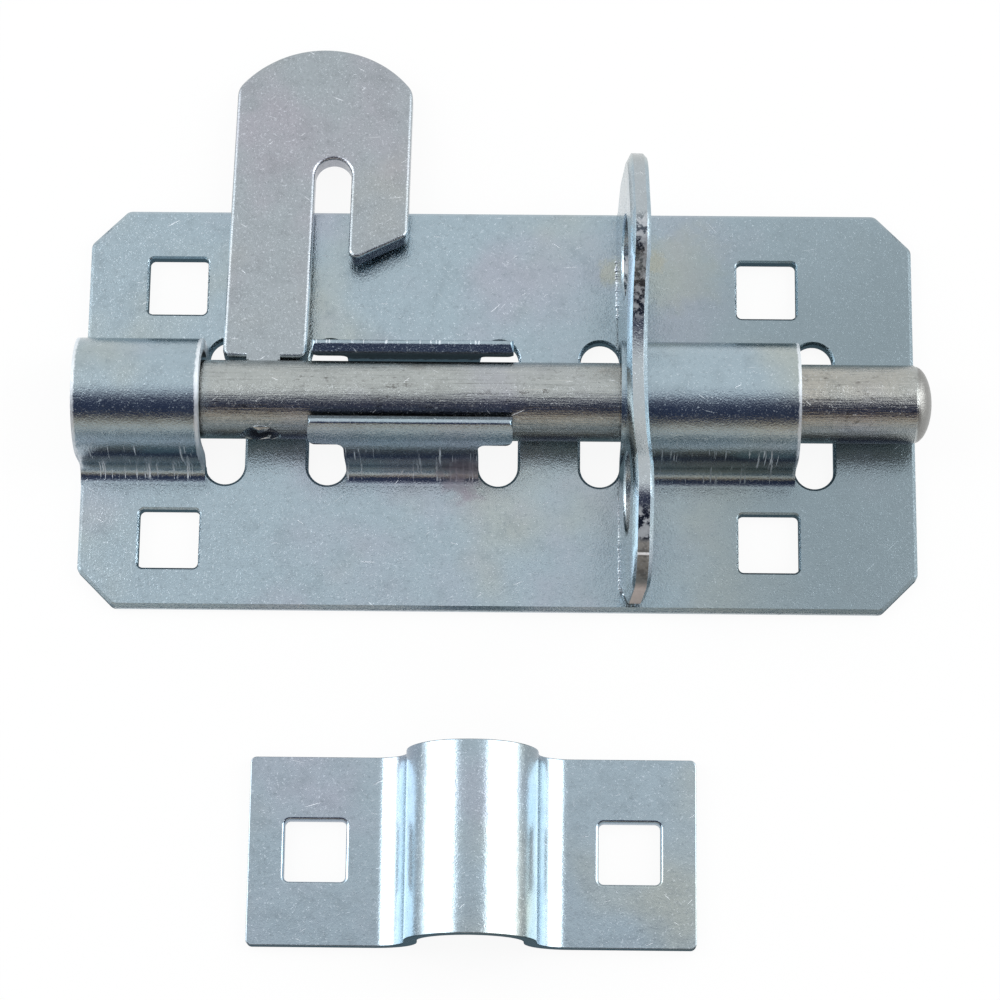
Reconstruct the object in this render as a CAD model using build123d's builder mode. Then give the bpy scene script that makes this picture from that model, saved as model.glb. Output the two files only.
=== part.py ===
"""Padbolt with its keeper: pressed sheet body, round bolt, riveted hook handle, padlock plate.

Frame: millimetres. X runs along the bolt with its nose at +X, and +Z points away from the
door. The origin is the centre of the body's four fixing holes, on the back of the sheet, so
the bolt's axis lies over Y = 0.
"""
import os
from math import cos, radians, sin, sqrt

from build123d import *

os.makedirs("parts", exist_ok=True)

# Body sheet
sheet = 2.0                 # thickness
plate_l = 128.0             # length along the bolt
plate_up = 32.7             # from the bolt's line to the upper edge
plate_down = 31.0           # from the bolt's line to the lower edge
corner_cut = 5.6            # 45 degree cut at each corner
corner_round = 1.4          # rounding at both ends of each cut
press_edge = 0.5            # eased front edge left by the punch

# Square holes for M8 coach bolts
square = 9.2
square_round = 0.8
square_edge = 0.3           # eased front edge of each square hole
hole_pitch_x = 91.6
hole_pitch_y = 40.6
left_margin = 13.8          # from the sheet's left end to the first pair of holes

# Bolt
rod_d = 12.0
rod_gap = 0.3               # running gap between the bolt and the sheet
rod_inset = 0.8             # the tail stays this far inside the sheet's left end
nose_over = 1.8             # the nose stands this far past the sheet's right end
nose_l = 2.75               # length of the dome
nose_step = 0.15            # turned shoulder where the dome starts
tail_cut = 0.6              # chamfer at the tail

# Guides formed from the sheet: two full loops and a pair of curled tabs
guide_clear = 1.25          # radial clearance between the bolt and the guides
bend = 2.5                  # concave front radius at the foot of each guide
land = 0.1                  # flat part of each formed strip outside its bend
slot_w = 6.0                # relief slots beside the formed strips
slot_l = 23.2
slot_edge = 0.4             # eased front edge of the slots
loop_left_w = 19.1
bridge_left = 9.7           # flat bridge between the first two slots
tab_w = 20.2
bridge_right = 9.6          # flat bridge between the third and fourth slots
loop_right_w = 26.9
head_side = 5.3             # overhang of a tab's head past its neck
head_h = 3.5                # height of a tab's head, measured along the sheet
head_round = 1.1
head_edge = 0.6             # rounding of a head's outer end
tab_up_end = 21.0           # degrees of the upper tab's end above the bolt's axis
tab_low_end = 55.0          # degrees of the lower tab's end above the bolt's axis

# Padlock plate, welded upright across the sheet and over the right loop
lock_t = 3.0
lock_set = -0.25            # how far its left face stands inside the loop's left end
lock_lean = 3.2             # degrees by which it leans towards the nose
lock_skew = 0.6             # degrees by which its upper end is turned towards the tail
lock_mid_y = 1.85           # its middle lies this far above the bolt's line
lock_half = 33.85           # half its width across the sheet
lock_foot = 30.0            # outer end of each foot
lock_foot_in = 15.0         # inner end of each foot
lock_low_z = 8.0            # heights above the sheet of the corners before rounding
lock_high_z = 22.5
lock_peak_y = 17.5
lock_peak_z = 28.7
lock_dip_z = 18.5           # lowest point of the dip over the loop
lock_low_r = 6.0            # roundings at those corners
lock_high_r = 7.5
lock_peak_r = 7.0
lock_hole_d = 12.5          # padlock hole in each ear
lock_hole_y = 18.5
lock_hole_z = 15.0
lock_fit = 0.1              # gap between the plate and the loop it straddles
lock_relief = 2.2           # height of the relief over the loop's foot bends
lock_edge = 0.6             # eased edge of the face towards the nose
lock_roll = 1.4             # width and depth of the punch's roll on the other face
lock_roll_deep = 0.7
lock_hole_edge = 0.35       # eased edge of both padlock holes

# Hook handle
handle_t = 3.0
handle_tilt = -6.4          # degrees of the lying handle above the sheet's plane
shank_side = 21.8           # from the sheet's left end to the shank
shank_w = 12.8
mouth_w = 5.7               # open slot between the shank and the hook
handle_w = 27.6
handle_lean = 0.6           # degrees by which its crown leans towards the nose
shoulder = 0.55             # gap between the shank's foot and the bolt
handle_top = 60.0           # from the bolt's axis to the crown
crown_r = 16.8
crown_round = 3.2
mouth_top = 40.6            # from the bolt's axis to the closed end of the slot
hook_in = 22.8              # hook's lower end beside the slot
hook_out = 27.5             # hook's lower end at its outer side
hook_round = 1.3
shank_round = 1.2
handle_edge = 0.6           # rolled front edge
handle_back_edge = 0.25
neck_side = 6.25            # from the shank's left side to the neck's middle
neck_w = 5.1
neck_gap = 0.02             # between the neck's foot and the bolt
tenon_w = 4.4
tenon_short = 0.5           # the riveted end stays this far inside the bolt's surface
rivet_h = 0.8               # length of the spread end
pin_hole_d = 5.4
pin_fit = 0.04              # gap round the spread end
pin_sink = 0.4              # widening of the cross hole's far mouth

# Keeper, laid beside the body as supplied
keeper_x = 1.25
keeper_y = -68.1
keeper_l = 66.7
keeper_w = 28.3
keeper_pitch = 46.8
keeper_clear = 1.8          # radial clearance round the bolt's nose
keeper_bend = 4.7           # concave front radius at each foot
keeper_axis_z = 8.0
keeper_round = 0.9          # corners of the strip

# Sizes that follow from the ones above
rod_r = rod_d / 2
rod_z = sheet + rod_gap + rod_r
guide_in = rod_r + guide_clear
guide_out = guide_in + sheet
strip_half = guide_out + bend + land
left_x = -hole_pitch_x / 2 - left_margin
right_x = left_x + plate_l
slot_a = left_x + loop_left_w
slot_b = slot_a + slot_w + bridge_left
slot_c = slot_b + slot_w + tab_w
slot_d = slot_c + slot_w + bridge_right
loop_right_x = slot_d + slot_w
slot_e = loop_right_x + loop_right_w
slot_starts = (slot_a, slot_b, slot_c, slot_d, slot_e)
tab_mid_x = slot_b + slot_w + tab_w / 2
plate_mid_y = (plate_up - plate_down) / 2
reach = plate_l             # longer than any cut needs to be


def hoop_section(inner, axis_z, foot_bend, half):
    """Return a bent strip's section: flat feet, upright legs and a half-round crown."""
    outer = inner + sheet
    with BuildSketch() as section:
        with Locations((0, sheet / 2)):
            Rectangle(2 * half, sheet)
        with Locations((0, axis_z / 2)):
            Rectangle(2 * outer, axis_z)
        with Locations((0, axis_z)):
            Circle(outer)
            Circle(inner, mode=Mode.SUBTRACT)
        with Locations((0, (axis_z - sheet) / 2)):
            Rectangle(2 * inner, axis_z + sheet, mode=Mode.SUBTRACT)
        for side in (-1, 1):
            front = section.vertices().sort_by_distance((side * outer, sheet))[0]
            fillet(front, foot_bend)
            back = section.vertices().sort_by_distance((side * inner, 0))[0]
            fillet(back, foot_bend + sheet)
    return section.sketch


def tab_front(end_angle):
    """Return a tab's T shape, seen along the sheet: a neck under a wider head."""
    mean_r = guide_in + sheet / 2
    head_start = radians(end_angle) - head_h / mean_r
    head_low = rod_z + mean_r * sin(head_start)
    head_high = rod_z + guide_out * sin(radians(end_angle))
    with BuildSketch() as front:
        with Locations((0, head_low / 2)):
            Rectangle(tab_w, head_low)
        with Locations((0, (head_low + head_high) / 2)):
            Rectangle(tab_w + 2 * head_side, head_high - head_low)
        fillet(front.vertices().sort_by(Axis.Y)[-6:], head_round)
    return front.sketch


def is_slot_end(edge):
    """Tell whether an edge is the rounded end of a relief slot."""
    return edge.geom_type == GeomType.CIRCLE and abs(edge.radius - slot_w / 2) < 0.01


def cut_hoop(side, end_angle):
    """Return one leg of the guide section, on the side +1 or -1, up to its end angle."""
    end = radians(end_angle)
    far = 2 * strip_half
    with BuildSketch() as leg:
        add(hoop_section(guide_in, rod_z, bend, strip_half))
        with BuildLine():
            Polyline(
                (0, rod_z),
                (side * far * cos(end), rod_z + far * sin(end)),
                (side * 2 * far, 0),
                (side * far, -sheet),
                (0, -sheet),
                close=True,
            )
        make_face(mode=Mode.INTERSECT)
        outer_end = (side * guide_out * cos(end), rod_z + guide_out * sin(end))
        fillet(leg.vertices().sort_by_distance(outer_end)[0], head_edge)
    return leg.sketch


# Full loops at both ends of the bolt's run
with BuildPart() as left_loop:
    with BuildSketch(Plane.YZ.offset(left_x)):
        add(hoop_section(guide_in, rod_z, bend, strip_half))
    extrude(amount=loop_left_w)

with BuildPart() as right_loop:
    with BuildSketch(Plane.YZ.offset(loop_right_x)):
        add(hoop_section(guide_in, rod_z, bend, strip_half))
    extrude(amount=loop_right_w)

# T-headed tabs curled round the bolt between the loops
tab_plane = Plane(origin=(tab_mid_x, 0, 0), x_dir=(1, 0, 0), z_dir=(0, -1, 0))

with BuildPart() as upper_tab:
    with BuildSketch(Plane.YZ.offset(tab_mid_x)):
        add(cut_hoop(1, tab_up_end))
    extrude(amount=tab_w / 2 + head_side, both=True)
    with BuildSketch(tab_plane):
        add(tab_front(tab_up_end))
    extrude(amount=reach, both=True, mode=Mode.INTERSECT)

with BuildPart() as lower_tab:
    with BuildSketch(Plane.YZ.offset(tab_mid_x)):
        add(cut_hoop(-1, tab_low_end))
    extrude(amount=tab_w / 2 + head_side, both=True)
    with BuildSketch(tab_plane):
        add(tab_front(tab_low_end))
    extrude(amount=reach, both=True, mode=Mode.INTERSECT)

# Body: one sheet with cut corners, square holes, relief slots and the formed guides
with BuildPart() as base_plate:
    with BuildSketch() as blank:
        with Locations(((left_x + right_x) / 2, plate_mid_y)):
            Rectangle(plate_l, plate_up + plate_down)
        chamfer(blank.vertices(), corner_cut)
        fillet(blank.vertices(), corner_round)
    extrude(amount=sheet)
    chamfer(base_plate.faces().sort_by(Axis.Z)[-1].edges(), press_edge)
    with BuildSketch():
        with GridLocations(hole_pitch_x, hole_pitch_y, 2, 2):
            RectangleRounded(square, square, square_round)
    extrude(amount=sheet, mode=Mode.SUBTRACT)
    for hole in base_plate.faces().sort_by(Axis.Z)[-1].inner_wires():
        chamfer(hole.edges(), square_edge)
    with BuildSketch():
        for start in slot_starts:
            with Locations((start + slot_w / 2, 0)):
                SlotOverall(slot_l, slot_w, rotation=90)
        with Locations((left_x + loop_left_w / 2, 0)):
            Rectangle(loop_left_w, 2 * strip_half)
        with Locations((tab_mid_x, 0)):
            Rectangle(tab_w, 2 * strip_half)
        with Locations((loop_right_x + loop_right_w / 2, 0)):
            Rectangle(loop_right_w, 2 * strip_half)
    extrude(amount=sheet, mode=Mode.SUBTRACT)
    slot_ends = base_plate.faces().sort_by(Axis.Z)[-1].edges().filter_by(is_slot_end)
    chamfer(slot_ends, slot_edge)
    add(left_loop.part)
    add(right_loop.part)
    add(upper_tab.part)
    add(lower_tab.part)

base_plate.part.label = "base_plate"
export_step(base_plate.part, "parts/base_plate.step")

# Bolt with its domed nose and the cross hole for the handle's tenon
rod_left = left_x + rod_inset
dome_x = right_x + nose_over - nose_l
shank_left = left_x + shank_side
neck_x = shank_left + neck_side
tilt = radians(handle_tilt)

with BuildPart() as bolt_rod:
    with BuildSketch(Plane.XZ):
        with BuildLine():
            Polyline(
                (dome_x, rod_z + rod_r - nose_step),
                (dome_x, rod_z + rod_r),
                (rod_left + tail_cut, rod_z + rod_r),
                (rod_left, rod_z + rod_r - tail_cut),
                (rod_left, rod_z),
                (dome_x + nose_l, rod_z),
            )
            EllipticalCenterArc(
                (dome_x, rod_z), nose_l, rod_r - nose_step, start_angle=0, arc_size=90
            )
        make_face()
    revolve(axis=Axis((0, 0, rod_z), (1, 0, 0)))
    far_mouth = Plane(
        origin=(neck_x, -rod_r * cos(tilt), rod_z - rod_r * sin(tilt)),
        x_dir=(1, 0, 0),
        z_dir=(0, -cos(tilt), -sin(tilt)),
    )
    with Locations(far_mouth):
        CounterSinkHole(pin_hole_d / 2, pin_hole_d / 2 + pin_sink, depth=reach)

bolt_rod.part.label = "bolt_rod"
export_step(bolt_rod.part, "parts/bolt_rod.step")

# Handle: shank and hook with an open slot, riveted through the bolt by its tenon
handle_plane = Plane(
    origin=(0, 0, rod_z),
    x_dir=(1, 0, 0),
    z_dir=(0, -sin(tilt), cos(tilt)),
)
shank_right = shank_left + shank_w
hook_left = shank_right + mouth_w
handle_right = shank_left + handle_w
mouth_side = mouth_top - mouth_w / 2
crown_side = handle_top - crown_r + sqrt(crown_r**2 - (handle_w / 2) ** 2)
shank_foot = rod_r + shoulder
neck_foot = rod_r + neck_gap
neck_in = shank_foot + shoulder
tenon_end = -rod_r + tenon_short
rounded_corners = (
    (shank_left, crown_side, crown_round),
    (handle_right, crown_side, crown_round),
    (hook_left, hook_in, hook_round),
    (handle_right, hook_out, hook_round),
    (shank_left, shank_foot, shank_round),
    (shank_right, shank_foot, shank_round),
)

with BuildSketch() as blade:
    with BuildLine():
        Polyline(
            (shank_left, crown_side),
            (shank_left, shank_foot),
            (shank_right, shank_foot),
            (shank_right, mouth_side),
        )
        ThreePointArc(
            (shank_right, mouth_side),
            (shank_right + mouth_w / 2, mouth_top),
            (hook_left, mouth_side),
        )
        Polyline(
            (hook_left, mouth_side),
            (hook_left, hook_in),
            (handle_right, hook_out),
            (handle_right, crown_side),
        )
        ThreePointArc(
            (handle_right, crown_side),
            (shank_left + handle_w / 2, handle_top),
            (shank_left, crown_side),
        )
    make_face()
    for corner_x, corner_y, corner_radius in rounded_corners:
        fillet(blade.vertices().sort_by_distance((corner_x, corner_y))[0], corner_radius)

with BuildPart() as handle:
    with BuildSketch(handle_plane):
        add(blade.sketch.rotate(Axis((neck_x, shank_foot, 0), (0, 0, 1)), -handle_lean))
    extrude(amount=handle_t / 2, both=True)
    front_face = handle.faces().filter_by(handle_plane).sort_by(Axis.Z)[-1]
    fillet(front_face.edges(), handle_edge)
    back_face = handle.faces().filter_by(handle_plane).sort_by(Axis.Z)[0]
    chamfer(back_face.edges(), handle_back_edge)
    with BuildSketch(handle_plane):
        with Locations((neck_x, (neck_foot + neck_in) / 2)):
            Rectangle(neck_w, neck_in - neck_foot)
        with Locations((neck_x, (tenon_end + neck_in) / 2)):
            Rectangle(tenon_w, neck_in - tenon_end)
    extrude(amount=handle_t / 2, both=True)
    rivet_plane = Plane(
        origin=handle_plane.from_local_coords((neck_x, tenon_end)),
        x_dir=(1, 0, 0),
        z_dir=(0, cos(tilt), sin(tilt)),
    )
    with BuildSketch(rivet_plane):
        Circle(pin_hole_d / 2 - pin_fit)
    extrude(amount=rivet_h)

handle.part.label = "handle"
export_step(handle.part, "parts/handle.step")

def above_sheet(edge):
    """Tell whether an edge of the padlock plate lies clear of the sheet."""
    return edge.center().Z > sheet + 1


# Padlock plate: two ears joined over the right loop
lean = radians(lock_lean)
skew = radians(lock_skew)
lock_plane = Plane(
    origin=(loop_right_x + lock_set, lock_mid_y, sheet),
    x_dir=(-sin(skew), cos(skew), 0),
    z_dir=(cos(lean) * cos(skew), cos(lean) * sin(skew), -sin(lean)),
)
ear_rounds = (
    (lock_half, lock_low_z, lock_low_r),
    (lock_half, lock_high_z, lock_high_r),
    (lock_peak_y, lock_peak_z, lock_peak_r),
)

with BuildSketch() as ears:
    with BuildLine():
        Polyline(
            (-lock_peak_y, lock_peak_z),
            (-lock_half, lock_high_z),
            (-lock_half, lock_low_z),
            (-lock_foot, 0),
            (-lock_foot, -lock_t),
            (lock_foot, -lock_t),
            (lock_foot, 0),
            (lock_half, lock_low_z),
            (lock_half, lock_high_z),
            (lock_peak_y, lock_peak_z),
        )
        ThreePointArc(
            (lock_peak_y, lock_peak_z), (0, lock_dip_z), (-lock_peak_y, lock_peak_z)
        )
    make_face()
    for corner_y, corner_z, corner_radius in ear_rounds:
        for side in (-1, 1):
            spot = (side * corner_y, corner_z)
            fillet(ears.vertices().sort_by_distance(spot)[0], corner_radius)

with BuildPart() as staple_plate:
    with BuildSketch(lock_plane):
        add(ears.sketch)
    extrude(amount=lock_t)
    nose_face = staple_plate.faces().filter_by(lock_plane).sort_by(Axis.X)[-1]
    chamfer(nose_face.edges().filter_by(above_sheet), lock_edge)
    roll_face = staple_plate.faces().filter_by(lock_plane).sort_by(Axis.X)[0]
    roll_edges = roll_face.edges().filter_by(above_sheet)
    chamfer(roll_edges, lock_roll, lock_roll_deep, reference=roll_face)
    with BuildSketch(lock_plane):
        with Locations((-lock_hole_y, lock_hole_z), (lock_hole_y, lock_hole_z)):
            Circle(lock_hole_d / 2)
    extrude(amount=lock_t, mode=Mode.SUBTRACT)
    for flat in staple_plate.faces().filter_by(lock_plane):
        for hole in flat.inner_wires():
            chamfer(hole.edges(), lock_hole_edge)
    with BuildSketch(Plane.YZ):
        with Locations((0, rod_z)):
            Circle(guide_out + lock_fit)
        with Locations((0, rod_z / 2)):
            Rectangle(2 * (guide_out + lock_fit), rod_z)
        with Locations((lock_mid_y, (sheet + lock_relief) / 2)):
            Rectangle(2 * lock_foot_in, sheet + lock_relief)
    extrude(amount=reach, mode=Mode.SUBTRACT)
    with BuildSketch(Plane.XY.offset(sheet)):
        Rectangle(reach, reach)
    extrude(amount=-reach, mode=Mode.SUBTRACT)

staple_plate.part.label = "staple_plate"
export_step(staple_plate.part, "parts/staple_plate.step")

# Keeper: a strip bent into an arch, with a square hole in each wing
keeper_plane = Plane(
    origin=(keeper_x, keeper_y + keeper_w / 2, 0), x_dir=(1, 0, 0), z_dir=(0, -1, 0)
)
keeper_in = rod_r + keeper_clear

with BuildPart() as keeper:
    with BuildSketch(keeper_plane):
        add(hoop_section(keeper_in, keeper_axis_z, keeper_bend, keeper_l / 2))
    extrude(amount=keeper_w)
    wing_corners = keeper.edges().filter_by(Axis.Z).group_by(SortBy.LENGTH)[-1]
    fillet(wing_corners, keeper_round)
    with BuildSketch():
        with Locations((keeper_x, keeper_y)):
            with GridLocations(keeper_pitch, 0, 2, 1):
                RectangleRounded(square, square, square_round)
    extrude(amount=sheet, mode=Mode.SUBTRACT)
    for wing in keeper.faces().filter_by(Axis.Z).sort_by(Axis.Z)[-2:]:
        for hole in wing.inner_wires():
            chamfer(hole.edges(), square_edge)

keeper.part.label = "keeper"
export_step(keeper.part, "parts/keeper.step")
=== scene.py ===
"""Padbolt with keeper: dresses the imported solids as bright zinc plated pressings.

Lengths are metres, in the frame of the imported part: +X along the bolt to its nose, +Y to the
side where the handle lies, +Z out of the door. Finishes and welds are given in millimetres.
"""
import logging
import math
import random
from dataclasses import dataclass
from enum import Enum

import bmesh
import bpy
from mathutils import Matrix, Vector

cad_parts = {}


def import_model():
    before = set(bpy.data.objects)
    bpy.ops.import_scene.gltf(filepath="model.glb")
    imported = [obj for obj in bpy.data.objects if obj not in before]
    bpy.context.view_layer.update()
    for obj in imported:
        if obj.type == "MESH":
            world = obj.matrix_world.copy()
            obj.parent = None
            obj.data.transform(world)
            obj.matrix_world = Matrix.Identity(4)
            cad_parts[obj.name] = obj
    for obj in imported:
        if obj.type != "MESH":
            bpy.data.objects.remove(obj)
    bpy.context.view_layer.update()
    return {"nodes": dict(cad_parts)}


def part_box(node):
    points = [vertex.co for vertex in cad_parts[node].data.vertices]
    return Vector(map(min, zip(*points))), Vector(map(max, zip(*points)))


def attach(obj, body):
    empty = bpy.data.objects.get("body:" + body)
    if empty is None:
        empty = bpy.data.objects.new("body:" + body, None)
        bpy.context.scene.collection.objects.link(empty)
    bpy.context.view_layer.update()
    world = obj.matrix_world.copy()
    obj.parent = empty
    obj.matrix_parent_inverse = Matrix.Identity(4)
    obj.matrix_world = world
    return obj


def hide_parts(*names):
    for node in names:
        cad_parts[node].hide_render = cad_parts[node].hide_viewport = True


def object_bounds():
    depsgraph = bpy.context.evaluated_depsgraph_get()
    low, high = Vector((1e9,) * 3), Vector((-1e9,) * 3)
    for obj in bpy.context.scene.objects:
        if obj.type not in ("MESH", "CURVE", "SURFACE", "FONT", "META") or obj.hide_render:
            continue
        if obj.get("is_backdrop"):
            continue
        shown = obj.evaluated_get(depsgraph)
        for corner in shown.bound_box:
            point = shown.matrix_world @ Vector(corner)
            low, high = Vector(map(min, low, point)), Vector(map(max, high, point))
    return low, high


LOG = logging.getLogger("padbolt")
MM = 0.001
BOLT_AXIS_Z = 8.3
HANDLE_TILT = -6.4
TENON_X = -31.55

Colour = tuple[float, float, float]
Place = tuple[float, float, float]
Span = tuple[float, float]
Socket = bpy.types.NodeSocket
Value = float | Colour | Socket


class Body(Enum):
    """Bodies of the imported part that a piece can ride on."""

    SHEET = "body"
    BOLT = "bolt"


class Graph:
    """Small helper that adds and joins the nodes of one material, world or node group."""

    def __init__(self, tree: bpy.types.NodeTree) -> None:
        """Start on an empty tree.

        Args:
            tree: The node tree to fill.
        """
        tree.nodes.clear()
        self.tree = tree

    def add(self, kind: str, inputs: dict | None = None, **settings) -> bpy.types.Node:
        """Add a node.

        Args:
            kind: Node type's identifier.
            inputs: Socket name or number to a value or to another node's output.
            settings: Properties of the node itself.

        Returns:
            The new node.
        """
        node = self.tree.nodes.new(kind)
        for key, value in settings.items():
            setattr(node, key, value)
        for key, value in (inputs or {}).items():
            if isinstance(value, Socket):
                self.tree.links.new(value, node.inputs[key])
            else:
                node.inputs[key].default_value = value
        return node

    def math(
        self, operation: str, first: Value, second: Value = 0.0, clamp: bool = False
    ) -> Socket:
        """Work out a sum on two values.

        Args:
            operation: The Math node's operation.
            first: First value.
            second: Second value.
            clamp: Whether the result is kept between 0 and 1.

        Returns:
            The result.
        """
        node = self.add("ShaderNodeMath", {0: first, 1: second}, operation=operation)
        node.use_clamp = clamp
        return node.outputs[0]

    def plus(self, first: Value, second: Value) -> Socket:
        """Return the sum of two values."""
        return self.math("ADD", first, second)

    def times(self, first: Value, second: Value) -> Socket:
        """Return the product of two values."""
        return self.math("MULTIPLY", first, second)

    def larger(self, first: Value, second: Value) -> Socket:
        """Return the larger of two values."""
        return self.math("MAXIMUM", first, second)

    def vector(
        self, operation: str, first: Value, second: Value = (0.0, 0.0, 0.0)
    ) -> bpy.types.Node:
        """Return a Vector Math node on two values."""
        return self.add("ShaderNodeVectorMath", {0: first, 1: second}, operation=operation)

    def axes(self, place: Socket) -> bpy.types.NodeOutputs:
        """Return a vector's X, Y and Z."""
        return self.add("ShaderNodeSeparateXYZ", {"Vector": place}).outputs

    def ramp(self, value: Value, low: float, high: float) -> Socket:
        """Turn a value into a smooth step from 0 to 1.

        Args:
            value: The value.
            low: Where the step is 0.
            high: Where it is 1, above or below low.

        Returns:
            The step.
        """
        node = self.add(
            "ShaderNodeMapRange",
            {"Value": value, "From Min": low, "From Max": high},
            interpolation_type="SMOOTHSTEP",
        )
        return node.outputs["Result"]

    def band(self, value: Value, rise: Span, fall: Span) -> Socket:
        """Return 1 where a value lies between a rising and a falling step, 0 outside."""
        return self.times(self.ramp(value, *rise), self.ramp(value, *fall))

    def mix(self, factor: Socket, first: Value, second: Value) -> Socket:
        """Mix two colours.

        Args:
            factor: Share of the second one.
            first: First colour.
            second: Second colour.

        Returns:
            The mixed colour.
        """
        node = self.add(
            "ShaderNodeMix", {"Factor": factor}, data_type="RGBA", clamp_factor=True
        )
        for key, value in ((6, first), (7, second)):
            if isinstance(value, Socket):
                self.tree.links.new(value, node.inputs[key])
            else:
                node.inputs[key].default_value = (*value, 1.0)
        return node.outputs[2]

    def cover(self, colour: Value, mask: Socket, amount: float, tint: Value) -> Socket:
        """Return a colour covered by a tint where a mask lies, by an amount."""
        return self.mix(self.times(mask, amount), colour, tint)

    def noise(
        self, place: Socket, scale: float, detail: float = 2.0, rough: float = 0.5
    ) -> Socket:
        """Read a noise texture.

        Args:
            place: Where to read it.
            scale: Its scale.
            detail: Its number of octaves.
            rough: How strong the finer octaves are.

        Returns:
            The noise's value.
        """
        node = self.add(
            "ShaderNodeTexNoise",
            {"Vector": place, "Scale": scale, "Detail": detail, "Roughness": rough},
        )
        return node.outputs["Fac"]

    def moved(
        self, place: Socket, shift: Place = (0.0, 0.0, 0.0), scale: Place = (1.0, 1.0, 1.0)
    ) -> Socket:
        """Return a place scaled along each axis and then shifted."""
        inputs = {"Vector": place, "Location": shift, "Scale": scale}
        return self.add("ShaderNodeMapping", inputs).outputs[0]

    def direct_rays(self) -> Socket:
        """Tell the rays that see the white: straight, reflected or through glass.

        Returns:
            1 for those rays and 0 for the others.
        """
        rays = self.add("ShaderNodeLightPath").outputs
        seen = self.larger(rays["Is Camera Ray"], rays["Is Glossy Ray"])
        return self.larger(seen, rays["Is Transmission Ray"])


def new_material(name: str) -> tuple[bpy.types.Material, Graph]:
    """Make an empty node material.

    Args:
        name: Name of the material.

    Returns:
        The material and its graph.
    """
    material = bpy.data.materials.new(name)
    material.use_nodes = True
    return material, Graph(material.node_tree)


def new_object(name: str, data: bpy.types.ID) -> bpy.types.Object:
    """Make an object and put it in the scene.

    Args:
        name: Name of the object.
        data: Its mesh, light or camera.

    Returns:
        The object, at the origin.
    """
    made = bpy.data.objects.new(name, data)
    bpy.context.scene.collection.objects.link(made)
    return made


@dataclass(frozen=True)
class Noise:
    """A noise texture's scale, octaves and roughness."""

    scale: float
    detail: float = 2.0
    rough: float = 0.5

    def read(self, graph: Graph, place: Socket) -> Socket:
        """Return the noise's value at a place."""
        return graph.noise(place, self.scale, self.detail, self.rough)


@dataclass(frozen=True)
class Patches:
    """Soft-edged patches cut out of a noise, whose edges run from low to high."""

    scale: float
    detail: float
    rough: float
    low: float
    high: float

    def mask(self, graph: Graph, place: Socket) -> Socket:
        """Return where the patches lie, from 0 to 1."""
        value = graph.noise(place, self.scale, self.detail, self.rough)
        return graph.ramp(value, self.low, self.high)


@dataclass(frozen=True)
class StainAndShade:
    """A soft-edged spot of another colour on a finish, such as a burn, a film, a nick or
    painted shade in a hole.
    """

    place: Place
    reach: float
    colour: Colour
    amount: float
    length: float = 1.0
    ragged: float = 0.8
    dulls: float = 0.0
    fade: float = 0.65
    ceiling: float = 1000.0
    ceiling_fade: float = 2.0
    fray_scale: float = 1.6
    fray_detail: float = 4.0
    fray_rough: float = 0.65

    def mask(self, graph: Graph, place: Socket) -> Socket:
        """Return where the spot lies, from 0 to 1.

        Args:
            graph: The material's graph.
            place: Position in millimetres.

        Returns:
            The mask.
        """
        scale = (1.0, 1.0 / self.length, 1.0)
        middle = tuple(-part * factor for part, factor in zip(self.place, scale))
        distance = graph.vector("LENGTH", graph.moved(place, middle, scale)).outputs["Value"]
        noise = graph.noise(
            place, self.fray_scale / self.reach, self.fray_detail, self.fray_rough
        )
        frayed = graph.times(
            graph.math("SUBTRACT", noise, 0.5), 2.0 * self.reach * self.ragged
        )
        core = (1.0 - self.fade) * self.reach
        spot = graph.ramp(graph.plus(distance, frayed), self.reach, core)
        below = graph.ramp(
            graph.axes(place)["Z"], self.ceiling + self.ceiling_fade, self.ceiling
        )
        return graph.times(spot, below)


@dataclass(frozen=True)
class RimMasks:
    """Where the parts of a cut edge lie: dark blots, browned foot, clear metal, all of it."""

    blotted: Socket
    foot: Socket
    clear: Socket
    whole: Socket


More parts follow.
